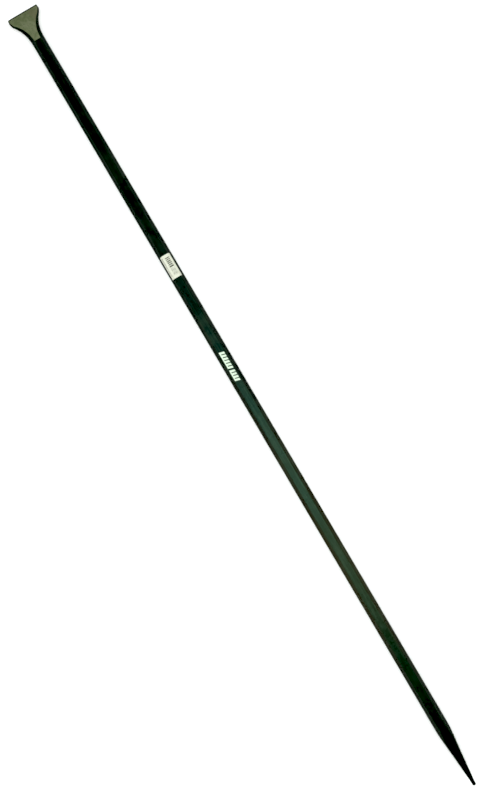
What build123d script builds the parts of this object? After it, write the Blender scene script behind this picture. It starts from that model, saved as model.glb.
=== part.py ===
from build123d import *
import math
import os

os.makedirs("parts", exist_ok=True)

# A long pry bar lying on one of its flats. X runs along the bar, with the flared wedge at -X
# and the pencil point at +X. Z is up from the surface it lies on and X = 0 is mid-length.

# Driving dimensions, in millimetres
across_flats = 25.4  # one inch hexagonal stock
overall_length = 1829.0  # 72 inch bar
corner_round = 1.2  # rolled corners of the stock
blade_width = 71.6  # widest part of the wedge
grind_length = 71.5  # cutting edge to the end of the ground faces
edge_thickness = 3.0  # where the two ground faces would meet the cutting edge
bevel_length = 2.6  # short bevel along the cutting edge
land_thickness = 0.9  # what the two bevels leave of the edge
sharp_corner = 1.0  # corner of the blade on the +Y side
worn_corner = 3.0  # corner of the blade on the -Y side
edge_narrowing = 0.9  # the cutting edge is this much shorter at each end than the widest part
fan_extra_lean = 6.5  # the wedge's sides lean in this much further at its front than the stock
brow_steps = 11  # points worked out along the wedge's brow line, less one
point_length = 130.0  # from the first trace of taper to the tip
point_drift = -2.0  # the forged point ends this far to one side of the shank's line
nose_radius = 3.6  # blunt end of the point
nose_angle = 6.5  # taper of the point's flank where the nose begins, in degrees
seam_angle = 10.0  # in degrees
sheet = 0.25  # thickness of the sticker
label_length = 53.3
label_centre_x = -286.3
label_wrap = (7.3, 5.9)  # how far the label runs down the -Y and +Y side flats
label_corner = 1.5
mark_start_x = -80.6
mark_low = -6.0  # the print's edges across the top flat
mark_high = 5.1
mark_groups = (6, 4)  # stripes in the first and the second group
stripe_width = 4.6
stripe_pitch = 6.7
stripe_slant = 15.0  # in degrees
underline_width = 2.4
group_gap = 4.0
print_height = 0.15

# Hexagon, worked out from its flats
flat_tilt = math.radians(30)  # how far the side flats lean in from upright
half_height = across_flats / 2
corner_reach = half_height / math.cos(flat_tilt)
half_flat = half_height * math.tan(flat_tilt)
stripe_lean = math.tan(math.radians(stripe_slant))
slope_run = corner_reach - half_flat
middle = Plane.XY.offset(half_height)
top = Plane.XY.offset(across_flats)

# Stations along the bar
edge_x = -overall_length / 2
tip_x = overall_length / 2
grind_end_x = edge_x + grind_length
fan_root_x = grind_end_x + 4
overrun = 12.0  # spare metal at both ends, taken off below

# Pencil point: a plane along its own centre line, starting where the taper starts. It is
# turned a little, so that the seam of the round face misses the middle of a flat.
drift_angle = math.asin(point_drift / point_length)
shoulder_x = tip_x - point_length * math.cos(drift_angle)
seam_turn = math.radians(seam_angle)
point_plane = Plane(
    origin=(shoulder_x, 0, half_height),
    x_dir=(math.cos(drift_angle), math.sin(drift_angle), 0),
    z_dir=(
        math.sin(drift_angle) * math.cos(seam_turn),
        -math.cos(drift_angle) * math.cos(seam_turn),
        math.sin(seam_turn),
    ),
)
nose_x = point_length - nose_radius
nose_turn = math.radians(nose_angle)

# Half widths of the wedge at mid height, on the +Y side and on the fuller -Y side: a nearly
# parallel stretch behind the edge, a rounded shoulder, then a long hollow flare into the shank
edge_half_width = blade_width / 2 - edge_narrowing
flare = [
    (edge_x - overrun, edge_half_width - 2 * edge_narrowing, edge_half_width - 2 * edge_narrowing),
    (edge_x, edge_half_width, edge_half_width),
    (edge_x + 8, blade_width / 2, blade_width / 2),
    (edge_x + 18, 32.0, 33.6),
    (edge_x + 28, 25.0, 27.2),
    (edge_x + 42, 18.5, 20.3),
    (edge_x + 58, 15.3, 16.2),
    (fan_root_x, corner_reach, corner_reach),
]


def inset(curve, fraction, distance):
    """Point beside the curve, moved square to it towards the bar's middle line."""
    along = curve.tangent_at(fraction)
    return curve.position_at(fraction) + Vector(along.Y, -along.X) * distance


def ridge_line(half_widths):
    """The wedge's widest line, at mid height, as if it were on the +Y side."""
    stations = [station[0] for station in flare]
    return Spline(list(zip(stations, half_widths)), tangents=[(1, 0.25), (1, 0)])


def brow_line(ridge):
    """Where the side would reach the top flat: it closes in on the ridge towards the shank."""
    fractions = [step / brow_steps for step in range(brow_steps + 1)]
    points = [inset(ridge, at, slope_run + fan_extra_lean * (1 - at)) for at in fractions]
    return Spline(points, tangents=[ridge % 0, ridge % 1])


with BuildLine(Plane.XY, mode=Mode.PRIVATE):
    crisp_ridge = ridge_line([station[1] for station in flare])
    worn_ridge = ridge_line([station[2] for station in flare])
    crisp_brow = brow_line(crisp_ridge)
    worn_brow = brow_line(worn_ridge)
edge_point = crisp_ridge.param_at_point(Vector(edge_x, edge_half_width))
edge_splay = crisp_ridge.tangent_at(edge_point).Y / crisp_ridge.tangent_at(edge_point).X

# Plan of the finished blade: a straight edge, one corner crisp and the other worn round
with BuildSketch(Plane.XY) as blade_plan:
    with BuildLine():
        Polyline(
            (edge_x, edge_half_width),
            (edge_x + 2 * overrun, edge_half_width + 2 * overrun * edge_splay),
            (edge_x + 2 * overrun, -edge_half_width - 2 * overrun * edge_splay),
            (edge_x, -edge_half_width),
            close=True,
        )
    make_face()
    fillet(blade_plan.vertices().group_by(Axis.X)[0].sort_by(Axis.Y)[-1], sharp_corner)
    fillet(blade_plan.vertices().group_by(Axis.X)[0].sort_by(Axis.Y)[0], worn_corner)

with BuildPart() as forged_bar:
    # hexagonal shank with its corners to the left and right
    with BuildSketch(Plane.YZ.offset(fan_root_x)):
        with Locations((0, half_height)):
            RegularPolygon(radius=corner_reach, side_count=6)
    extrude(amount=tip_x + overrun - fan_root_x)

    # forged fan, upper half and then its mirror image
    for level, crisp_side, worn_side in (
        (middle, crisp_ridge, worn_ridge),
        (top, crisp_brow, worn_brow),
    ):
        far_side = worn_side.mirror(Plane.XZ)
        with BuildSketch(level):
            with BuildLine():
                add(crisp_side)
                add(far_side)
                Line(crisp_side @ 0, far_side @ 0)
                Line(crisp_side @ 1, far_side @ 1)
            make_face()
    upper_fan = loft(ruled=True)
    mirror(upper_fan, about=middle)

    # the six rolled corners, running on along the fan
    lengthways = forged_bar.edges().filter_by(lambda edge: edge.bounding_box().size.X > overrun)
    fillet(lengthways, corner_round)

    # everything ahead of the cutting edge comes off
    with BuildSketch(Plane.XY):
        with Locations((edge_x, 0)):
            Rectangle(3 * overrun, 2 * blade_width)
        add(blade_plan.sketch, mode=Mode.SUBTRACT)
    extrude(amount=across_flats, mode=Mode.SUBTRACT)

    # ground wedge faces and the short bevels, on the upper side and then on the lower
    face_slope = (half_height - edge_thickness / 2) / grind_length
    bevel_height = half_height + edge_thickness / 2 + face_slope * bevel_length
    land_height = half_height + land_thickness / 2
    with BuildSketch(Plane.XZ):
        with BuildLine():
            Polyline(
                (edge_x - overrun, 2 * across_flats),
                (edge_x - overrun, land_height),
                (edge_x, land_height),
                (edge_x + bevel_length, bevel_height),
                (grind_end_x, across_flats),
                (grind_end_x, 2 * across_flats),
                close=True,
            )
        make_face()
    ground_away = extrude(amount=blade_width, both=True, mode=Mode.PRIVATE)
    add(ground_away, mode=Mode.SUBTRACT)
    mirror(ground_away, about=middle, mode=Mode.SUBTRACT)

    # pencil point, drawn out a little off line: everything outside its round profile comes off
    with BuildSketch(point_plane):
        with BuildLine():
            taper = Spline(
                (0, corner_reach),
                (0.25 * point_length, 12.2),
                (0.52 * point_length, 8.5),
                (0.75 * point_length, 5.8),
                (nose_x + nose_radius * math.sin(nose_turn), nose_radius * math.cos(nose_turn)),
                tangents=[(1, -0.02), (math.cos(nose_turn), -math.sin(nose_turn))],
            )
            TangentArc(taper @ 1, (point_length, 0), tangent=taper % 1)
            Polyline(
                (point_length, 0),
                (2 * point_length, 0),
                (2 * point_length, blade_width),
                (0, blade_width),
                taper @ 0,
            )
        make_face()
    revolve(axis=Axis(point_plane.origin, point_plane.x_dir), mode=Mode.SUBTRACT)

    # one forging, kept as two solids that meet where the fan starts: the shank with its point
    # is convex, and so is easy to collide with, only when the wedge isn't part of it
    split(bisect_by=Plane.YZ.offset(fan_root_x), keep=Keep.BOTH)

forged_bar.part.label = "forged_bar"
export_step(forged_bar.part, "parts/forged_bar.step")


def stock_section(allowance):
    """Cross-section of the rolled stock, grown by this much all round."""
    with BuildSketch(Plane.XY, mode=Mode.PRIVATE) as section:
        with Locations((0, half_height)):
            RegularPolygon(radius=(half_height + allowance) / math.cos(flat_tilt), side_count=6)
        fillet(section.vertices(), corner_round + allowance)
    return section.sketch


def beside_the_flat(side, down, out):
    """Point this far down a sloping upper flat and this far out from it; side is -1 or 1."""
    across = half_flat + down * math.sin(flat_tilt) + out * math.cos(flat_tilt)
    return side * across, across_flats - down * math.cos(flat_tilt) + out * math.sin(flat_tilt)


# Paper sticker: it covers the top flat and is bent down over both rolled corners
with BuildPart() as barcode_label:
    with BuildSketch(Plane.YZ.offset(label_centre_x - label_length / 2)):
        add(stock_section(sheet))
        add(stock_section(0), mode=Mode.SUBTRACT)
        with BuildLine():
            Polyline(
                (0, half_height),
                beside_the_flat(-1, label_wrap[0], 0),
                beside_the_flat(-1, label_wrap[0], across_flats),
                (0, 3 * across_flats),
                beside_the_flat(1, label_wrap[1], across_flats),
                beside_the_flat(1, label_wrap[1], 0),
                close=True,
            )
        make_face(mode=Mode.INTERSECT)
    extrude(amount=label_length)
    through_sheet = barcode_label.edges().filter_by(lambda edge: edge.length < 2 * sheet)
    below_flat = through_sheet.filter_by(lambda edge: edge.center().Z < across_flats - corner_round)
    fillet(below_flat, label_corner)

barcode_label.part.label = "barcode_label"
export_step(barcode_label.part, "parts/barcode_label.step")


def slanted_bar(start_x, length, low, high):
    """Outline between two edges across the bar, both ends leaning the same way."""
    Polyline(
        (start_x + low * stripe_lean, low),
        (start_x + length + low * stripe_lean, low),
        (start_x + length + high * stripe_lean, high),
        (start_x + high * stripe_lean, high),
        close=True,
    )


# Print: two groups of slanted stripes, each group on one underline
with BuildPart() as printed_mark:
    group_x = mark_start_x
    for stripes in mark_groups:
        group_length = (stripes - 1) * stripe_pitch + stripe_width
        with BuildSketch(top):
            for stripe in range(stripes):
                with BuildLine():
                    slanted_bar(group_x + stripe * stripe_pitch, stripe_width, mark_low, mark_high)
                make_face()
            with BuildLine():
                slanted_bar(group_x, group_length, mark_low, mark_low + underline_width)
            make_face()
        group_x += group_length + group_gap
    extrude(amount=print_height)

printed_mark.part.label = "printed_mark"
export_step(printed_mark.part, "parts/printed_mark.step")
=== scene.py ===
import math
import bpy
import numpy as np
from mathutils import Euler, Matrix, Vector


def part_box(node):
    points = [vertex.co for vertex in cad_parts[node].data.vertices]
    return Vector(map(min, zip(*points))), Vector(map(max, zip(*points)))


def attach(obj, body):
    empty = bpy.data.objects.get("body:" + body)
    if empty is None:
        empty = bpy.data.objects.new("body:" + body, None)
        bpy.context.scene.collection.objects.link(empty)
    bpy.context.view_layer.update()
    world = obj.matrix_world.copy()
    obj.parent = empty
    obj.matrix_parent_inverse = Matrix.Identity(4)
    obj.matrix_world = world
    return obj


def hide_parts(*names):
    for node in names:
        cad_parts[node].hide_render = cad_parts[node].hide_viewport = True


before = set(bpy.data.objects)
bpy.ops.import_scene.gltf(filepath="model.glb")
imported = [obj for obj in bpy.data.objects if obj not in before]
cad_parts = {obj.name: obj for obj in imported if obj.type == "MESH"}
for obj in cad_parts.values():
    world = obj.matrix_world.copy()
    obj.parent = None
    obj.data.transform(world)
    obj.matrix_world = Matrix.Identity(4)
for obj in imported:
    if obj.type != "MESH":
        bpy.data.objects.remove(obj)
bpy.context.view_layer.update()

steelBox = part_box("forged_bar")
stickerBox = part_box("barcode_label")
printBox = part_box("printed_mark")
mm = 0.001

# sizes of the rolled stock, taken from the CAD box
halfHeight = (steelBox[1][2] - steelBox[0][2]) / 2
flatLean = math.radians(30)
cornerReach = halfHeight / math.cos(flatLean)
halfFlat = halfHeight * math.tan(flatLean)
edgeX, tipX = steelBox[0][0], steelBox[1][0]
topZ = steelBox[1][2]


class Wire:
    # one output socket, so that shader and geometry maths read as plain sums
    def __init__(self, bench, socket):
        self.bench = bench
        self.socket = socket

    def sum(self, operation, first, second):
        return self.bench.node("ShaderNodeMath", {"operation": operation}, {0: first, 1: second})

    def __add__(self, other):
        return self.sum("ADD", self, other)

    def __radd__(self, other):
        return self.sum("ADD", other, self)

    def __sub__(self, other):
        return self.sum("SUBTRACT", self, other)

    def __rsub__(self, other):
        return self.sum("SUBTRACT", other, self)

    def __mul__(self, other):
        return self.sum("MULTIPLY", self, other)

    def __rmul__(self, other):
        return self.sum("MULTIPLY", other, self)


class Bench:
    # one node tree with the single method that adds a node to it
    def __init__(self, tree):
        self.tree = tree

    def node(self, kind, settings=None, sockets=None, out=0):
        made = self.tree.nodes.new(kind)
        for key, value in (settings or {}).items():
            setattr(made, key, value)
        for key, value in (sockets or {}).items():
            wires = value if isinstance(value, list) else [value]    # a list gives several links
            for wire in wires:
                if isinstance(wire, Wire):
                    self.tree.links.new(wire.socket, made.inputs[key])
                else:
                    made.inputs[key].default_value = wire
        return Wire(self, made.outputs[out]) if made.outputs else None

    def place(self):
        return self.node("ShaderNodeTexCoord", {}, {}, "Object")

    def alongX(self, place):
        # along the bar, positive towards the point
        return self.node("ShaderNodeSeparateXYZ", {}, {"Vector": place}, 0)

    def fade(self, value, low, high):
        # 0 below low, 1 above high, smooth between
        ends = {"Value": value, "From Min": low, "From Max": high}
        return self.node("ShaderNodeMapRange", {"interpolation_type": "SMOOTHSTEP"}, ends)

    def noise(self, place, scale, detail, rough=0.5):
        sockets = {"Vector": place, "Scale": scale, "Detail": detail, "Roughness": rough}
        return self.node("ShaderNodeTexNoise", {}, sockets)

    def lines(self, place, scales, detail, rough):
        # noise with its own scale on each axis, so that it draws out into lines
        drawn = self.node("ShaderNodeMapping", {"vector_type": "POINT"}, {"Vector": place, "Scale": scales})
        return self.noise(drawn, 1.0, detail, rough)

    def tint(self, mask, first, second):
        mix = {"data_type": "RGBA"}
        return self.node("ShaderNodeMix", mix, {0: mask, 6: first, 7: second}, 2)

    def bump(self, height, distance, strength, under=None):
        sockets = {"Height": height, "Distance": distance, "Strength": strength}
        if under is not None:
            sockets["Normal"] = under
        return self.node("ShaderNodeBump", {}, sockets)


def newMaterial(name):
    material = bpy.data.materials.new(name)
    material.use_nodes = True
    material.node_tree.nodes.clear()
    return material, Bench(material.node_tree)


def finishMaterial(bench, shader):
    bench.node("ShaderNodeOutputMaterial", {}, {"Surface": shader})


enamel = {
    "deep": (0.0120, 0.0105, 0.0120, 1),
    "thin": (0.0170, 0.0155, 0.0160, 1),
    # painted warm light: a warmer, lighter coat colour that stands in for the warm light falling on the point
    # end
    "paintedWarmLight": (0.0240, 0.0165, 0.0090, 1),
    "pointBlack": (0.0085, 0.0080, 0.0080, 1),
    "dust": (0.045, 0.055, 0.038, 1),
    "chipped": (0.16, 0.155, 0.14, 1),
    "chippedDark": (0.09, 0.075, 0.06, 1),
    "gloss": 0.23,
    "specular": 0.17,
    "specularTint": (0.44, 1.0, 0.75, 1),
    "patchScale": 9.0,               # scales are noise cells to the metre
    "mottleScale": 48.0,
    "pitScale": 170.0,
    "crumbScale": 330.0,
    "peelScale": 750.0,
    "scuffScale": 15.0,
    "handledScale": 4.2,
    "fineLines": (7.0, 620.0, 620.0),
    "rollLines": (11.0, 230.0, 230.0),
    "paintedWarmLightFrom": (0.0, 0.7),         # stretches of the bar, in metres from mid-length
    "blackFrom": (0.40, 0.75),
    "marksFrom": (-0.4, 0.05),
    "cleanFrom": (0.5, 0.8),
    "scuffAmount": 0.16,
    "handledAmount": 0.05,
    "cloudAmount": 0.22,
    "streakAmount": 0.26,
    "rubbedAmount": 0.5,
    "chipEdge": (0.70, 0.735),       # the coat ends between these two heights of the chip mask
    "pitDepth": 0.13 * mm,
    "peelDepth": 0.022 * mm,
    "lineDepth": 0.02 * mm,
    "crumbDepth": 0.1 * mm,
}


def makeEnamel(name):
    e = enamel
    material, bench = newMaterial(name)
    place = bench.place()
    along = bench.alongX(place)
    patches = bench.noise(place, e["patchScale"], 4.0, 0.6)
    mottle = bench.noise(place, e["mottleScale"], 4.0, 0.6)
    peel = bench.noise(place, e["peelScale"], 2.0, 0.5)
    pits = bench.noise(place, e["pitScale"], 4.0, 0.6)
    fineLines = bench.lines(place, e["fineLines"], 3.0, 0.65)
    rollLines = bench.lines(place, e["rollLines"], 3.0, 0.6)
    wear = bench.node("ShaderNodeAttribute", {"attribute_name": "wear"}, {}, "Fac")

    # the coat's colour changes along the bar; toward the point it is painted warmer and lighter, a painted
    # warm light on that end
    base = bench.tint(bench.fade(patches, 0.35, 0.7), e["deep"], e["thin"])
    # painted warm light: this tint brightens the point end's sides as warm light would
    base = bench.tint(bench.fade(along + patches * 0.3, *e["paintedWarmLightFrom"]) * 0.9, base, e["paintedWarmLight"])
    base = bench.tint(bench.fade(along, *e["blackFrom"]), base, e["pointBlack"])

    # dust and handling marks lie over it, fewest near the wedge and at the point
    scuffed = bench.fade(bench.noise(place, e["scuffScale"], 2.0), 0.5, 0.68)
    scuffs = bench.fade(fineLines, 0.63, 0.72) * scuffed
    handled = bench.fade(bench.noise(place, e["handledScale"], 3.0), 0.48, 0.66)
    rubbed = bench.fade(wear, 0.2, 0.45) * bench.fade(fineLines, 0.30, 0.70)
    marks = scuffs * e["scuffAmount"] + handled * e["handledAmount"] + rubbed * e["rubbedAmount"]
    marks = marks + bench.fade(mottle, 0.45, 0.75) * e["cloudAmount"]
    marks = marks + bench.fade(rollLines, 0.44, 0.66) * e["streakAmount"]
    shown = 0.55 + 0.45 * bench.fade(along, *e["marksFrom"])
    shown = shown * (1.0 - 0.8 * bench.fade(along, *e["cleanFrom"]))
    base = bench.tint(marks * shown, base, e["dust"])

    rough = e["gloss"] + 0.10 * patches + 0.14 * (mottle - 0.5) + 0.16 * scuffs + 0.05 * handled
    normal = bench.bump(pits, e["pitDepth"], 0.6)
    normal = bench.bump(peel, e["peelDepth"], 0.5, normal)
    normal = bench.bump(fineLines, e["lineDepth"], 0.35, normal)
    paint = bench.node("ShaderNodeBsdfPrincipled", {}, {
        "Base Color": base, "Roughness": rough, "Normal": normal,
        "Specular IOR Level": e["specular"], "Specular Tint": e["specularTint"],
    })

    # where the coat is knocked off the corners, dark steel shows
    crumbs = bench.noise(place, e["crumbScale"], 5.0, 0.62)
    chips = bench.fade(wear * 0.62 + crumbs * 0.60, *e["chipEdge"])
    steel = bench.node("ShaderNodeBsdfPrincipled", {}, {
        "Base Color": bench.tint(pits, e["chipped"], e["chippedDark"]),
        "Metallic": 0.85, "Roughness": 0.46 + 0.2 * peel,
        "Normal": bench.bump(crumbs, e["crumbDepth"], 0.6),
    })
    finishMaterial(bench, bench.node("ShaderNodeMixShader", {}, {0: chips, 1: paint, 2: steel}))
    return material


groundFinish = {
    "pale": (0.288, 0.302, 0.200, 1),
    "olive": (0.203, 0.226, 0.135, 1),
    "brown": (0.246, 0.219, 0.153, 1),
    "dull": (0.118, 0.124, 0.078, 1),
    "gloss": 0.40,
    "metallic": 0.92,
    "warmScale": 34.0,
    "blotchScale": 75.0,
    "speckleScale": 290.0,
    "fineGrooves": (55.0, 900.0, 55.0),      # closest across the bar, so the lines run along it
    "coarseGrooves": (30.0, 260.0, 30.0),
    "dullFrom": 5.0 * mm,                    # behind the cutting edge
    "dullTo": 55.0 * mm,
    "fineDepth": 0.03 * mm,
    "coarseDepth": 0.06 * mm,
}


def makeGroundSteel(name):
    g = groundFinish
    material, bench = newMaterial(name)
    place = bench.place()
    blotches = bench.noise(place, g["blotchScale"], 4.0, 0.65)
    speckle = bench.noise(place, g["speckleScale"], 3.0, 0.6)
    warm = bench.noise(place, g["warmScale"], 2.0, 0.5)
    grooves = bench.lines(place, g["fineGrooves"], 4.0, 0.7)
    coarse = bench.lines(place, g["coarseGrooves"], 2.0, 0.6)
    base = bench.tint(bench.fade(blotches, 0.36, 0.66), g["pale"], g["olive"])
    base = bench.tint(bench.fade(warm, 0.52, 0.70) * 0.6, base, g["brown"])
    base = bench.tint(bench.fade(grooves, 0.58, 0.74) * 0.35, base, g["dull"])
    base = bench.tint(bench.fade(speckle, 0.50, 0.72) * 0.40, base, g["dull"])
    wandering = bench.alongX(place) + 0.02 * blotches
    nearEdge = 1.0 - bench.fade(wandering, edgeX + g["dullFrom"], edgeX + g["dullTo"])
    base = bench.tint(nearEdge * 0.30, base, g["dull"])
    normal = bench.bump(grooves, g["fineDepth"], 0.7, bench.bump(coarse, g["coarseDepth"], 0.5))
    steel = bench.node("ShaderNodeBsdfPrincipled", {}, {
        "Base Color": base,
        "Metallic": g["metallic"],
        "Roughness": g["gloss"] + 0.14 * blotches + 0.10 * grooves,
        "Normal": normal,
    })
    finishMaterial(bench, steel)
    return material


paperFinish = {
    "clean": (0.52, 0.53, 0.45, 1),
    "aged": (0.44, 0.44, 0.36, 1),
    "fibre": (0.38, 0.37, 0.29, 1),
    "gloss": 0.5,
    "specular": 0.35,
    "stainScale": 70.0,
    "fibreLines": (1400.0, 3200.0, 3200.0),
    "stainDepth": 0.1 * mm,
    "fibreDepth": 0.02 * mm,
}


def makePaper(name):
    p = paperFinish
    material, bench = newMaterial(name)
    place = bench.place()
    fibres = bench.lines(place, p["fibreLines"], 4.0, 0.6)
    stain = bench.noise(place, p["stainScale"], 4.0, 0.6)
    base = bench.tint(bench.fade(stain, 0.42, 0.75), p["clean"], p["aged"])
    base = bench.tint(bench.fade(fibres, 0.55, 0.8) * 0.10, base, p["fibre"])
    paper = bench.node("ShaderNodeBsdfPrincipled", {}, {
        "Base Color": base,
        "Roughness": p["gloss"] + 0.12 * fibres,
        "Normal": bench.bump(fibres, p["fibreDepth"], 0.4, bench.bump(stain, p["stainDepth"], 0.3)),
        "Specular IOR Level": p["specular"],
    })
    finishMaterial(bench, paper)
    return material


barcodeFinish = {
    "full": (0.030, 0.032, 0.018, 1),
    "faint": (0.10, 0.10, 0.06, 1),
    "patchScale": 260.0,
}

printFinish = {
    "full": (0.52, 0.62, 0.50, 1),
    "faint": (0.26, 0.33, 0.26, 1),
    "patchScale": 420.0,
}


def makeInk(name, finish):
    # printed colour that is a little thin in places
    material, bench = newMaterial(name)
    place = bench.place()
    coverage = bench.noise(place, finish["patchScale"], 5.0, 0.65)
    grain = bench.noise(place, finish["patchScale"] * 6.0, 2.0, 0.5)
    ink = bench.node("ShaderNodeBsdfPrincipled", {}, {
        "Base Color": bench.tint(bench.fade(coverage, 0.50, 0.78), finish["full"], finish["faint"]),
        "Roughness": 0.42 + 0.2 * coverage,
        "Normal": bench.bump(grain, 0.01 * mm, 0.5),
        "Specular IOR Level": 0.3,
    })
    finishMaterial(bench, ink)
    return material


floorLook = {
    "light": (0.93, 0.93, 0.935, 1),
    "shade": (0.90, 0.90, 0.905, 1),
    "gloss": 0.78,
    "specular": 0.15,
    "cloudScale": 1.3,
    "grainScale": 420.0,
    "grainDepth": 0.05 * mm,
}


def makeFloorFinish(name):
    f = floorLook
    material, bench = newMaterial(name)
    place = bench.place()
    cloud = bench.noise(place, f["cloudScale"], 3.0, 0.5)
    grain = bench.noise(place, f["grainScale"], 3.0, 0.6)
    surface = bench.node("ShaderNodeBsdfPrincipled", {}, {
        "Base Color": bench.tint(cloud, f["light"], f["shade"]),
        "Roughness": f["gloss"] + 0.1 * grain,
        "Normal": bench.bump(grain, f["grainDepth"], 0.3),
        "Specular IOR Level": f["specular"],
    })
    finishMaterial(bench, surface)
    return material


enamelPaint = makeEnamel("blackGreenEnamel")
groundSteel = makeGroundSteel("groundBladeSteel")
stickerPaper = makePaper("stickerPaper")
barcodeInk = makeInk("barcodeInk", barcodeFinish)
printWhite = makeInk("printWhite", printFinish)
floorFinish = makeFloorFinish("paleFloor")
print("finishes made")


def meshObject(name, points, faces, materials):
    mesh = bpy.data.meshes.new(name)
    mesh.from_pydata([tuple(p) for p in points], [], faces)
    mesh.update()
    piece = bpy.data.objects.new(name, mesh)
    bpy.context.scene.collection.objects.link(piece)
    for material in materials:
        mesh.materials.append(material)
    return piece


def smoothStep(value, low, high):
    t = min(max((value - low) / (high - low), 0.0), 1.0)
    return t * t * (3 - 2 * t)


def throughPoints(points, x):
    # smooth curve through a short list of points, without overshoot
    if x <= points[0][0]:
        return points[0][1]
    slopes = [(b[1] - a[1]) / (b[0] - a[0]) for a, b in zip(points, points[1:])]
    bends = [slopes[0]]
    for a, b in zip(slopes, slopes[1:]):
        bends.append(0.0 if a * b <= 0 else 2 * a * b / (a + b))
    bends.append(0.0)
    for i, (a, b) in enumerate(zip(points, points[1:])):
        if x <= b[0]:
            span = b[0] - a[0]
            t = (x - a[0]) / span
            return (
                a[1] * (2 * t**3 - 3 * t**2 + 1)
                + span * bends[i] * (t**3 - 2 * t**2 + t)
                + b[1] * (3 * t**2 - 2 * t**3)
                + span * bends[i + 1] * (t**3 - t**2)
            )
    return points[-1][1]


def geometryTree(name, sockets):
    tree = bpy.data.node_groups.new(name, "GeometryNodeTree")
    tree.interface.new_socket("Geometry", in_out="INPUT", socket_type="NodeSocketGeometry")
    for label, kind in sockets:
        tree.interface.new_socket(label, in_out="INPUT", socket_type="NodeSocket" + kind)
    tree.interface.new_socket("Geometry", in_out="OUTPUT", socket_type="NodeSocketGeometry")
    bench = Bench(tree)
    entry = tree.nodes.new("NodeGroupInput")
    given = {socket.name: Wire(bench, socket) for socket in entry.outputs if socket.name}
    return tree, bench, given


def closeTree(bench, shape):
    bench.node("NodeGroupOutput", {}, {"Geometry": shape})


def settle(piece, tree, values):
    # runs a geometry tree on the piece and keeps only the plain mesh it gives
    modifier = piece.modifiers.new(tree.name, "NODES")
    modifier.node_group = tree
    for item in tree.interface.items_tree:
        if item.in_out == "INPUT" and item.name in values:
            modifier[item.identifier] = values[item.name]
    worked = piece.evaluated_get(bpy.context.evaluated_depsgraph_get())
    mesh = bpy.data.meshes.new_from_object(worked)
    piece.modifiers.remove(modifier)
    old = piece.data
    piece.data = mesh
    mesh.name = piece.name
    bpy.data.meshes.remove(old)
    return piece


barShape = {
    "cornerRound": 1.2 * mm,
    "groundLength": 71.5 * mm,
    "flareEnd": 4.0 * mm,        # the flare runs on this far past the ground faces
    "edgeHalf": 1.5 * mm,        # half thickness where the ground faces would meet the edge
    "bevelLength": 2.6 * mm,
    "landHalf": 0.45 * mm,
    "sharpCorner": 1.0 * mm,
    "wornCorner": 3.0 * mm,
    "crispSide": 0.15 * mm,      # rounding left along the edges of the ground faces
    "extraLean": 6.5 * mm,       # how much further the wedge's sides lean in at its front
    "fanFront": 12.0 * mm,
    "pointLength": 130.0 * mm,
    "pointDrift": -2.0 * mm,
    "noseRadius": 3.6 * mm,
    "crispFlare": [              # millimetres behind the cutting edge, half width on the +Y side
        (-2, 34.6), (0, 34.9), (8, 35.8), (18, 32.0), (28, 25.0), (42, 18.5), (58, 15.3), (75.5, 14.665),
    ],
    "wornFlare": [               # the same on the fuller -Y side
        (-2, 34.6), (0, 34.9), (8, 35.8), (18, 33.6), (28, 27.2), (42, 20.3), (58, 16.2), (75.5, 14.665),
    ],
    "taper": [                   # millimetres past the shoulder, radius of the point
        (0, 14.665), (12, 14.05), (32.5, 12.2), (67.6, 8.5), (97.5, 5.8), (126.8, 3.58),
    ],
    "edgeRows": (0.0, 0.12, 0.35, 0.7, 1.0, 1.5, 2.0),     # millimetres, close at the round corners
    "flatSteps": 9,
    "roundSteps": 4,
    "noseSteps": 9,
    "headStep": 0.9 * mm,
    "rootStep": 0.5 * mm,
    "shankStep": 5.0 * mm,
    "pointStep": 1.8 * mm,
    "edgeWearLength": 140.0 * mm,
    "pointWearLength": 160.0 * mm,
    "cornerWear": 0.42,
    "endWear": 0.34,
    "pointEndWear": 0.8,         # the point's share of the end wear
    "flatEndWear": 0.2,          # the flats' share of it, beside the corners
    "cutCornerWear": 0.4,        # what a corner keeps of its wear where the point cuts it off
    "noseWear": 0.9,
    "skinStart": 10.0 * mm,      # behind the cutting edge, where the rolled skin is at its full depth
    "waveDepth": 0.10 * mm,
    "waveScale": 34.0,
    "grainDepth": 0.035 * mm,
    "grainScale": 210.0,
}
groundEnd = edgeX + barShape["groundLength"]
shoulder = tipX - barShape["pointLength"]


def cornerPull(behindEnd, radius):
    # how far a rounded corner pulls the side in, this far behind the end
    if behindEnd >= radius:
        return 0.0
    return radius - math.sqrt(max(radius**2 - (radius - behindEnd) ** 2, 0.0))


def flareAt(flare, behindEdge):
    # half width, and how much longer the side's run is because the side is slanted in plan
    probe = 0.5
    here, further = (throughPoints(flare, behindEdge / mm + ahead) * mm for ahead in (0.0, probe))
    return here, math.sqrt(1 + ((further - here) / (probe * mm)) ** 2)


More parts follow.
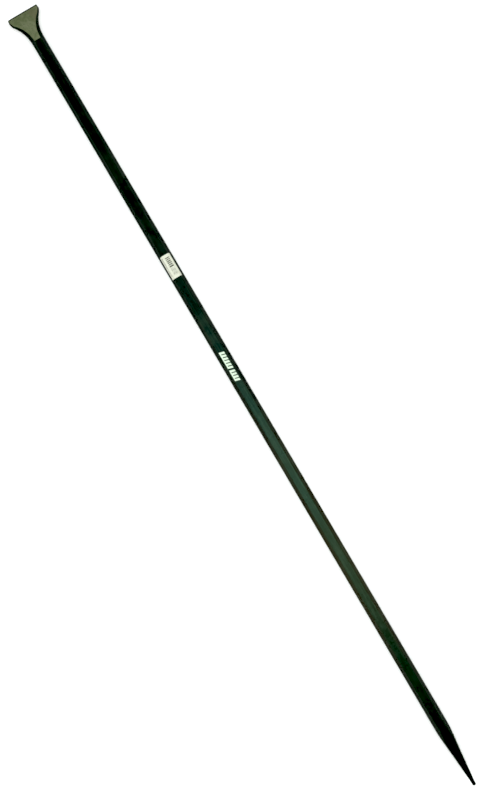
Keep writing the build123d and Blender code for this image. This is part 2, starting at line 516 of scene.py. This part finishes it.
def sectionCorners(x):
    # the six corners of the hexagonal section at x, and the rounding of each
    s = barShape
    behindEdge = x - edgeX
    right, rightSlant = flareAt(s["crispFlare"], behindEdge)
    left, leftSlant = flareAt(s["wornFlare"], behindEdge)
    right -= cornerPull(behindEdge, s["sharpCorner"])
    left -= cornerPull(behindEdge, s["wornCorner"])
    slope = (halfHeight - s["edgeHalf"]) / s["groundLength"]
    ground = s["edgeHalf"] + slope * behindEdge
    thick = min(halfHeight, ground)
    if behindEdge < s["bevelLength"]:
        bevelTop = s["edgeHalf"] + slope * s["bevelLength"]
        thick = s["landHalf"] + (bevelTop - s["landHalf"]) * behindEdge / s["bevelLength"]
    flareLength = s["groundLength"] + s["flareEnd"] + s["fanFront"]
    forward = 1 - min((behindEdge + s["fanFront"]) / flareLength, 1.0)
    lean = thick / halfHeight * (cornerReach - halfFlat + s["extraLean"] * forward)
    rightTop, leftTop = right - lean * rightSlant, -left + lean * leftSlant
    crisp = min(s["cornerRound"], s["crispSide"] + max(ground - halfHeight, 0.0) * 4)
    ridge = min(s["cornerRound"], thick * 0.8)
    corners = [
        (rightTop, thick), (leftTop, thick), (-left, 0.0),
        (leftTop, -thick), (rightTop, -thick), (right, 0.0),
    ]
    return corners, [crisp, crisp, ridge, crisp, crisp, ridge]


def roundedCorner(before, here, after, rounding):
    # a row of points round one corner of the section
    toBefore = (before - here).normalized()
    toAfter = (after - here).normalized()
    halfAngle = toBefore.angle(toAfter) / 2
    reach = min(rounding / math.tan(halfAngle), 0.4 * (before - here).length)
    radius = reach * math.tan(halfAngle)
    middle = here + (toBefore + toAfter).normalized() * radius / math.sin(halfAngle)
    start = here + toBefore * reach - middle
    end = here + toAfter * reach - middle
    arc = []
    for step in range(barShape["roundSteps"] + 1):
        across = start.lerp(end, step / barShape["roundSteps"])
        arc.append(middle + across * (radius / across.length))
    return arc


def sectionRing(x):
    # points round the section, the same count at every station: place, whether on a corner, side number
    corners, rounding = sectionCorners(x)
    corners = [Vector(corner) for corner in corners]
    arcs = []
    for i, corner in enumerate(corners):
        arcs.append(roundedCorner(corners[i - 1], corner, corners[(i + 1) % 6], rounding[i]))
    ring = []
    for i, arc in enumerate(arcs):
        ring += [(p, 1.0, i) for p in arc]
        following = arcs[(i + 1) % 6][0]
        for step in range(1, barShape["flatSteps"]):
            ring.append((arc[-1].lerp(following, step / barShape["flatSteps"]), 0.0, i))
    return ring


def pointRadius(x):
    s = barShape
    noseStart = tipX - s["noseRadius"]
    if x > noseStart + 0.4 * mm:
        return math.sqrt(max(s["noseRadius"] ** 2 - (x - noseStart) ** 2, 0.0))
    return throughPoints(s["taper"], (x - shoulder) / mm) * mm


def stations():
    # where the sections stand, closest at the cutting edge and round the nose
    s = barShape
    places = [edgeX + behind * mm for behind in s["edgeRows"]] + [edgeX + s["bevelLength"]]
    rootEnd = groundEnd + 2 * s["flareEnd"]
    nose = tipX - s["noseRadius"]
    for end, step in (
        (groundEnd, s["headStep"]), (rootEnd, s["rootStep"]),
        (shoulder, s["shankStep"]), (nose, s["pointStep"]),
    ):
        begin = places[-1]
        places += list(np.linspace(begin, end, round((end - begin) / step) + 1)[1:])
    for step in range(1, s["noseSteps"]):
        places.append(nose + s["noseRadius"] * math.sin(math.radians(90 * step / s["noseSteps"])))
    return [float(place) for place in places]


def underPrint(x):
    # 1 where the sticker or the print lies, fading out over a centimetre on both sides
    near, far = 2 * mm, 12 * mm
    covers = []
    for low, high in ((stickerBox[0][0], stickerBox[1][0]), (printBox[0][0], printBox[1][0])):
        covers.append(smoothStep(x, low - far, low - near) * smoothStep(-x, -high - far, -high - near))
    return max(covers)


def barSurface(places):
    # the bar's points, with how worn each is and how much rolled skin it carries
    s = barShape
    points, wear, skin = [], [], []
    for x in places:
        drift = s["pointDrift"] * max(x - shoulder, 0.0) / s["pointLength"]
        limit = pointRadius(x) if x > shoulder else 1.0
        endWear = smoothStep(-x, -edgeX - s["edgeWearLength"], -edgeX)
        endWear += s["pointEndWear"] * smoothStep(x, tipX - s["pointWearLength"], tipX)
        skinHere = (1 - underPrint(x)) * smoothStep(x, edgeX, edgeX + s["skinStart"])
        for place, rounded, side in sectionRing(x):
            fromMiddle = Vector((place.x - drift, place.y))
            if fromMiddle.length > limit:
                fromMiddle *= limit / fromMiddle.length
                rounded *= s["cutCornerWear"]
            points.append((x, fromMiddle.x + drift, halfHeight + fromMiddle.y))
            onGround = side in (0, 3) and x < groundEnd + 0.1 * mm
            skin.append(0.0 if onGround else skinHere)
            endShare = s["flatEndWear"] + (1 - s["flatEndWear"]) * rounded
            wear.append(s["cornerWear"] * rounded + s["endWear"] * endWear * endShare)
    points.append((tipX, s["pointDrift"], halfHeight))
    wear.append(s["noseWear"])
    skin.append(0.0)
    return points, wear, skin


def makeForgedBar():
    s = barShape
    places = stations()
    points, wear, skin = barSurface(places)
    count = (len(points) - 1) // len(places)
    perSide = s["roundSteps"] + s["flatSteps"]
    faces, ground = [], []
    for row, place in enumerate(places[:-1]):
        betweenEnds = edgeX + 0.9 * s["bevelLength"] < place < groundEnd - 0.1 * mm
        for k in range(count):
            a, b = row * count + k, row * count + (k + 1) % count
            faces.append((a, a + count, b + count, b))
            side, step = divmod(k, perSide)
            ground.append(side in (0, 3) and step >= s["roundSteps"] and betweenEnds)
    last = (len(places) - 1) * count
    for k in range(count):
        faces.append((last + k, len(points) - 1, last + (k + 1) % count))
        ground.append(False)
    faces.append(tuple(range(count)))
    ground.append(False)
    bar = meshObject("forgedBar", points, faces, [enamelPaint, groundSteel])
    for label, values in (("wear", wear), ("skin", skin)):
        bar.data.attributes.new(label, "FLOAT", "POINT").data.foreach_set("value", values)
    bar.data.attributes.new("ground", "BOOLEAN", "FACE").data.foreach_set("value", ground)
    return bar


def rolledSkinTree():
    # slow waves and fine grain of hot rolled stock, left off the ground faces
    tree, bench, given = geometryTree("rolledSkin", [
        ("Wave Depth", "Float"), ("Wave Scale", "Float"), ("Grain Depth", "Float"), ("Grain Scale", "Float"),
        ("Paint", "Material"), ("Steel", "Material"),
    ])
    place = bench.node("GeometryNodeInputPosition")
    normal = bench.node("GeometryNodeInputNormal")
    skin = bench.node("GeometryNodeInputNamedAttribute", {"data_type": "FLOAT"}, {"Name": "skin"})
    waves = bench.noise(place, given["Wave Scale"], 1.0, 0.5) - 0.5
    grain = bench.noise(place, given["Grain Scale"], 3.0, 0.6) - 0.5
    lift = (waves * given["Wave Depth"] + grain * given["Grain Depth"]) * skin * 2.0
    push = bench.node("ShaderNodeVectorMath", {"operation": "SCALE"}, {0: normal, "Scale": lift})
    shape = bench.node("GeometryNodeSetPosition", {}, {"Geometry": given["Geometry"], "Offset": push})
    isGround = bench.node("GeometryNodeInputNamedAttribute", {"data_type": "BOOLEAN"}, {"Name": "ground"})
    shape = bench.node("GeometryNodeRealizeInstances", {}, {"Geometry": shape})
    shape = bench.node("GeometryNodeSetMaterial", {}, {"Geometry": shape, "Material": given["Paint"]})
    closeTree(bench, bench.node("GeometryNodeSetMaterial", {}, {
        "Geometry": shape, "Selection": isGround, "Material": given["Steel"],
    }))
    return tree


forgedBar = makeForgedBar()
settle(forgedBar, rolledSkinTree(), {
    "Wave Depth": barShape["waveDepth"], "Wave Scale": barShape["waveScale"],
    "Grain Depth": barShape["grainDepth"], "Grain Scale": barShape["grainScale"],
    "Paint": enamelPaint, "Steel": groundSteel,
})
forgedBar.data.shade_smooth()
print("forged bar made,", len(forgedBar.data.polygons), "faces")


stickerShape = {
    "thickness": 0.25 * mm,
    "clearance": 0.03 * mm,      # between its underside and the paint
    "wrapLow": 7.3 * mm,         # down the -Y side flat
    "wrapHigh": 5.9 * mm,        # down the +Y side flat
    "cornerRound": 1.5 * mm,
    "rimRows": (0.0, 0.1, 0.3, 0.6, 1.0),      # millimetres in from its long edges
    "acrossSteps": 36,
    "lengthSteps": 40,
    "curl": 0.5 * mm,            # how far the loosest corner stands up
    "otherCurl": 0.5,            # the opposite corner's share of it
    "looseEnd": (0.86, 0.93),    # where both corners lift off, as shares of half the sticker's length
    "looseRim": (2.6 * mm, 1.8 * mm),          # and how far in from its long edges
    "sharpAngle": math.radians(50),
}
bend = barShape["cornerRound"]
bendTurn = 2 * flatLean
flatEnd = halfFlat - bend * math.tan(flatLean)     # where the top flat ends and its rolled corner begins


def overTheTop(t, height):
    # point on the path over the top flat and down both sides, t measured from its middle
    side = 1 if t >= 0 else -1
    past = abs(t) - flatEnd
    if past <= 0:
        return Vector((t, topZ + height))
    turn = min(past / bend, bendTurn)
    out = Vector((side * math.sin(turn), math.cos(turn)))
    place = Vector((side * flatEnd, topZ - bend)) + out * (bend + height)
    if past > bend * bendTurn:
        place += Vector((side * math.cos(turn), -math.sin(turn))) * (past - bend * bendTurn)
    return place


def stickerCurl(u, t, low, high):
    # how far the sticker stands up here: most at its +X, -Y corner, less at the corner opposite
    s = stickerShape
    looseCorner = smoothStep(u, s["looseEnd"][0], 1.0) * smoothStep(-t, -low - s["looseRim"][0], -low)
    otherCorner = smoothStep(-u, s["looseEnd"][1], 1.0) * smoothStep(t, high - s["looseRim"][1], high)
    return s["curl"] * (looseCorner + s["otherCurl"] * otherCorner)


def makeSticker():
    s = stickerShape
    low = -(flatEnd + bend * flatLean + s["wrapLow"])
    high = flatEnd + bend * flatLean + s["wrapHigh"]
    middle = (stickerBox[0][0] + stickerBox[1][0]) / 2
    half = (stickerBox[1][0] - stickerBox[0][0]) / 2
    across = set(np.linspace(low, high, s["acrossSteps"] + 1))
    for inside in s["rimRows"]:
        across |= {low + inside * mm, high - inside * mm}
    across = sorted(across)
    points = []
    for height in (s["thickness"], s["clearance"]):
        for t in across:
            inset = cornerPull(min(t - low, high - t), s["cornerRound"])
            for step in range(s["lengthSteps"] + 1):
                u = 2 * step / s["lengthSteps"] - 1
                place = overTheTop(t, height + stickerCurl(u, t, low, high))
                points.append((middle + u * (half - inset), place.x, place.y))
    wide, long = len(across), s["lengthSteps"] + 1
    lower = wide * long
    faces = []
    for i in range(wide - 1):
        for j in range(long - 1):
            a = i * long + j
            faces.append((a, a + 1, a + long + 1, a + long))
            faces.append((lower + a, lower + a + long, lower + a + long + 1, lower + a + 1))
    rim = list(range(long))
    rim += [i * long + long - 1 for i in range(1, wide)]
    rim += [(wide - 1) * long + j for j in range(long - 2, -1, -1)]
    rim += [i * long for i in range(wide - 2, 0, -1)]
    for a, b in zip(rim, rim[1:] + rim[:1]):
        faces.append((b, a, lower + a, lower + b))
    sticker = meshObject("barcodeSticker", points, faces, [stickerPaper])
    sticker.data.shade_smooth()
    sticker.data.set_sharp_from_angle(angle=s["sharpAngle"])
    return sticker


barcodeRows = {
    "bars": (                    # start from the sticker's -X end, count, pitch, narrowest, widest, seed
        (7.6, 5, 3.8, 1.20, 1.80, 11),
        (9.5, 5, 3.8, 0.25, 0.50, 4),
        (27.2, 1, 3.8, 2.60, 2.60, 1),
        (31.4, 8, 2.1, 0.20, 0.75, 8),
    ),
    "low": -3.2 * mm,
    "high": 6.2 * mm,
    "dashes": (                  # millimetres down the -Y side flat, height of the dashes, seed
        (1.2, 1.15, 5),
        (3.6, 0.85, 6),
    ),
    "dashStart": 5.0 * mm,
    "dashPitch": 2.4 * mm,
    "dashCount": 18,
    "shortDash": 0.7 * mm,
    "longDash": 2.0 * mm,
    "ink": 0.03 * mm,
}


def printedRowTree():
    # a row of flat printed marks with random lengths along the row
    tree, bench, given = geometryTree("printedRow", [
        ("Count", "Int"), ("Pitch", "Float"), ("Shortest", "Float"), ("Longest", "Float"),
        ("Across", "Float"), ("Thickness", "Float"), ("Seed", "Int"),
        ("Tilt", "Vector"), ("Place", "Vector"), ("Ink", "Material"),
    ])
    pitch = bench.node("ShaderNodeCombineXYZ", {}, {"X": given["Pitch"]})
    row = bench.node("GeometryNodeMeshLine", {"mode": "OFFSET"}, {"Count": given["Count"], "Offset": pitch})
    length = bench.node("FunctionNodeRandomValue", {"data_type": "FLOAT"}, {
        2: given["Shortest"], 3: given["Longest"], "Seed": given["Seed"],
    }, 1)
    size = bench.node("ShaderNodeCombineXYZ", {}, {
        "X": length, "Y": given["Across"], "Z": given["Thickness"],
    })
    block = bench.node("GeometryNodeMeshCube", {}, {"Size": (1.0, 1.0, 1.0)})
    marks = bench.node("GeometryNodeInstanceOnPoints", {}, {"Points": row, "Instance": block, "Scale": size})
    marks = bench.node("GeometryNodeTransform", {}, {
        "Geometry": marks, "Translation": given["Place"], "Rotation": given["Tilt"],
    })
    marks = bench.node("GeometryNodeRealizeInstances", {}, {"Geometry": marks})
    closeTree(bench, bench.node("GeometryNodeSetMaterial", {}, {"Geometry": marks, "Material": given["Ink"]}))
    return tree


def printedRow(name, tree, values):
    return settle(meshObject(name, [], [], []), tree, values)


def joinedMesh(name, pieces, material):
    # one plain mesh from several, made without operators
    points, faces = [], []
    for piece in pieces:
        start = len(points)
        points += [tuple(v.co) for v in piece.data.vertices]
        faces += [tuple(start + i for i in p.vertices) for p in piece.data.polygons]
    whole = meshObject(name, points, faces, [material])
    for piece in pieces:
        bpy.data.objects.remove(piece)
    return whole


def makeBarcode():
    s = barcodeRows
    tree = printedRowTree()
    start = stickerBox[0][0]
    height = stickerShape["thickness"] + s["ink"] / 2
    common = {"Thickness": s["ink"], "Ink": barcodeInk}
    rows = []
    for begin, count, pitch, narrow, wide, seed in s["bars"]:
        rows.append(printedRow("bars", tree, {
            **common, "Count": count, "Pitch": pitch * mm, "Shortest": narrow * mm, "Longest": wide * mm,
            "Across": s["high"] - s["low"], "Seed": seed, "Tilt": (0.0, 0.0, 0.0),
            "Place": (start + begin * mm, (s["low"] + s["high"]) / 2, topZ + height),
        }))
    for down, tall, seed in s["dashes"]:
        place = overTheTop(-(flatEnd + bend * bendTurn + down * mm), height)
        rows.append(printedRow("dashes", tree, {
            **common, "Count": s["dashCount"], "Pitch": s["dashPitch"],
            "Shortest": s["shortDash"], "Longest": s["longDash"], "Across": tall * mm, "Seed": seed,
            "Tilt": (bendTurn, 0.0, 0.0), "Place": (start + s["dashStart"], place.x, place.y),
        }))
    return joinedMesh("barcodeInk", rows, barcodeInk)


barcodeSticker = makeSticker()
barcodePrint = makeBarcode()
print("sticker and barcode made")


stripePrint = {
    "groups": (6, 4),            # stripes in each group
    "pitch": 6.7 * mm,
    "width": 4.6 * mm,
    "low": -6.0 * mm,
    "high": 5.1 * mm,
    "lean": math.tan(math.radians(15)),
    "underline": 2.4 * mm,
    "gap": 4.0 * mm,
    "thickness": 0.06 * mm,
}


def stripeRowTree():
    # slanted stripes standing on one underline
    tree, bench, given = geometryTree("stripeRow", [
        ("Count", "Int"), ("Pitch", "Float"), ("Width", "Float"), ("Low", "Float"), ("High", "Float"),
        ("Underline", "Float"), ("Lean", "Float"), ("Thickness", "Float"),
        ("Place", "Vector"), ("Ink", "Material"),
    ])
    foot = given["Low"] + given["Underline"]
    tall = given["High"] - foot
    pitch = bench.node("ShaderNodeCombineXYZ", {}, {"X": given["Pitch"]})
    begin = bench.node("ShaderNodeCombineXYZ", {}, {"X": given["Width"] * 0.5, "Y": foot + tall * 0.5})
    row = bench.node("GeometryNodeMeshLine", {"mode": "OFFSET"}, {
        "Count": given["Count"], "Start Location": begin, "Offset": pitch,
    })
    size = bench.node("ShaderNodeCombineXYZ", {}, {"X": given["Width"], "Y": tall, "Z": given["Thickness"]})
    stripe = bench.node("GeometryNodeMeshCube", {}, {"Size": size})
    stripes = bench.node("GeometryNodeInstanceOnPoints", {}, {"Points": row, "Instance": stripe})
    stripes = bench.node("GeometryNodeRealizeInstances", {}, {"Geometry": stripes})
    length = (given["Count"] - 1.0) * given["Pitch"] + given["Width"]
    lineSize = bench.node("ShaderNodeCombineXYZ", {}, {
        "X": length, "Y": given["Underline"], "Z": given["Thickness"],
    })
    line = bench.node("GeometryNodeMeshCube", {}, {"Size": lineSize})
    lineAt = bench.node("ShaderNodeCombineXYZ", {}, {
        "X": length * 0.5, "Y": given["Low"] + given["Underline"] * 0.5,
    })
    line = bench.node("GeometryNodeTransform", {}, {"Geometry": line, "Translation": lineAt})
    group = bench.node("GeometryNodeJoinGeometry", {}, {"Geometry": [line, stripes]})
    place = bench.node("GeometryNodeInputPosition")
    sideways = bench.node("ShaderNodeSeparateXYZ", {}, {"Vector": place}, 1)
    slide = bench.node("ShaderNodeCombineXYZ", {}, {"X": sideways * given["Lean"]})
    moved = bench.node("ShaderNodeVectorMath", {"operation": "ADD"}, {0: slide, 1: given["Place"]})
    group = bench.node("GeometryNodeSetPosition", {}, {"Geometry": group, "Offset": moved})
    closeTree(bench, bench.node("GeometryNodeSetMaterial", {}, {"Geometry": group, "Material": given["Ink"]}))
    return tree


def makeStripes():
    s = stripePrint
    tree = stripeRowTree()
    groups = []
    x = printBox[0][0] - s["low"] * s["lean"]
    for number, count in enumerate(s["groups"]):
        groups.append(printedRow("stripeGroup", tree, {
            "Count": count, "Pitch": s["pitch"], "Width": s["width"], "Low": s["low"], "High": s["high"],
            "Underline": s["underline"], "Lean": s["lean"], "Thickness": s["thickness"],
            "Place": (x, 0.0, topZ + s["thickness"] / 2), "Ink": printWhite,
        }))
        x += (count - 1) * s["pitch"] + s["width"] + s["gap"]
    return joinedMesh("slantedStripes", groups, printWhite)


slantedStripes = makeStripes()
print("stripes made")


for piece, node, finish in (
    (forgedBar, "forged_bar", "black_paint"),
    (barcodeSticker, "barcode_label", "sticker_paper"),
    (barcodePrint, "barcode_label", "sticker_paper"),
    (slantedStripes, "printed_mark", "white_print"),
):
    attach(piece, "root")
    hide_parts(node)


studio = {
    "floorHalf": 16.0,
    "floorSteps": 12,
    "floorLevel": -0.3 * mm,
    "dimGlow": (0.36, 0.42, 0.38, 1),          # the room's light from the wedge's side
    "warmGlow": (0.97, 0.94, 0.87, 1),         # and from the point's side
    "glowBlend": 0.35,                         # how far to each side of straight up they mix
    "lampColour": (0.95, 0.98, 1.0),
    "mainPlace": (0.12, 0.0, 3.5),             # its reflection is the bright band on the top flat
    "mainSize": (1.10, 2.4),
    "mainWatts": 59.0,
    "sidePlace": (0.0, 3.0, 2.6),
    "sideSize": (3.2, 1.6),
    "sideWatts": 80.0,
    "lens": 67.18,
    "cameraPlace": (0.3335, 0.0, 3.0277),
    "cameraTurn": (4.94, 3.17, 59.70),         # degrees
    "blackLevel": 0.037,
}


def makeFloor():
    half, steps = studio["floorHalf"], studio["floorSteps"]
    marks = [-half + 2 * half * i / steps for i in range(steps + 1)]
    points = [(x, y, studio["floorLevel"]) for x in marks for y in marks]
    faces = []
    for i in range(steps):
        for j in range(steps):
            a = i * (steps + 1) + j
            faces.append((a, a + steps + 1, a + steps + 2, a + 1))
    floor = meshObject("paleFloor", points, faces, [floorFinish])
    floor.visible_glossy = False    # keeps the bar's lower sides dark


def makeLamp(name, place, aim, size, watts):
    data = bpy.data.lights.new(name, "AREA")
    data.shape = "RECTANGLE"
    data.size, data.size_y = size
    data.energy = watts
    data.color = studio["lampColour"]
    lamp = bpy.data.objects.new(name, data)
    bpy.context.scene.collection.objects.link(lamp)
    lamp.location = place
    lamp.rotation_euler = (Vector(aim) - Vector(place)).to_track_quat("-Z", "Y").to_euler()
    lamp.visible_camera = False


def makeRoomGlow():
    world = bpy.data.worlds.new("studioWorld")
    world.use_nodes = True
    bench = Bench(world.node_tree)
    way = bench.node("ShaderNodeTexCoord", {}, {}, "Generated")
    blend = bench.fade(bench.alongX(way), -studio["glowBlend"], studio["glowBlend"])
    glow = bench.tint(blend, studio["dimGlow"], studio["warmGlow"])
    world.node_tree.links.new(glow.socket, world.node_tree.nodes["Background"].inputs["Color"])
    bpy.context.scene.world = world


def makeCamera():
    data = bpy.data.cameras.new("studioCamera")
    data.lens = studio["lens"]
    data.sensor_width = 36.0
    data.clip_end = 60.0
    camera = bpy.data.objects.new("studioCamera", data)
    bpy.context.scene.collection.objects.link(camera)
    camera.location = studio["cameraPlace"]
    camera.rotation_euler = Euler([math.radians(turn) for turn in studio["cameraTurn"]], "XYZ")
    bpy.context.scene.camera = camera


makeFloor()
straightBelow = (studio["mainPlace"][0], 0.0, 0.0)
makeLamp("mainSoftbox", studio["mainPlace"], straightBelow, studio["mainSize"], studio["mainWatts"])
for side in (-1, 1):
    x, y, z = studio["sidePlace"]
    makeLamp("sideSoftbox", (x, side * y, z), (0, 0, 0), studio["sideSize"], studio["sideWatts"])
makeRoomGlow()
makeCamera()

look = bpy.context.scene.view_settings
look.view_transform = "Standard"
look.use_curve_mapping = True
look.curve_mapping.black_level = [studio["blackLevel"]] * 3
look.curve_mapping.update()
print("studio set")
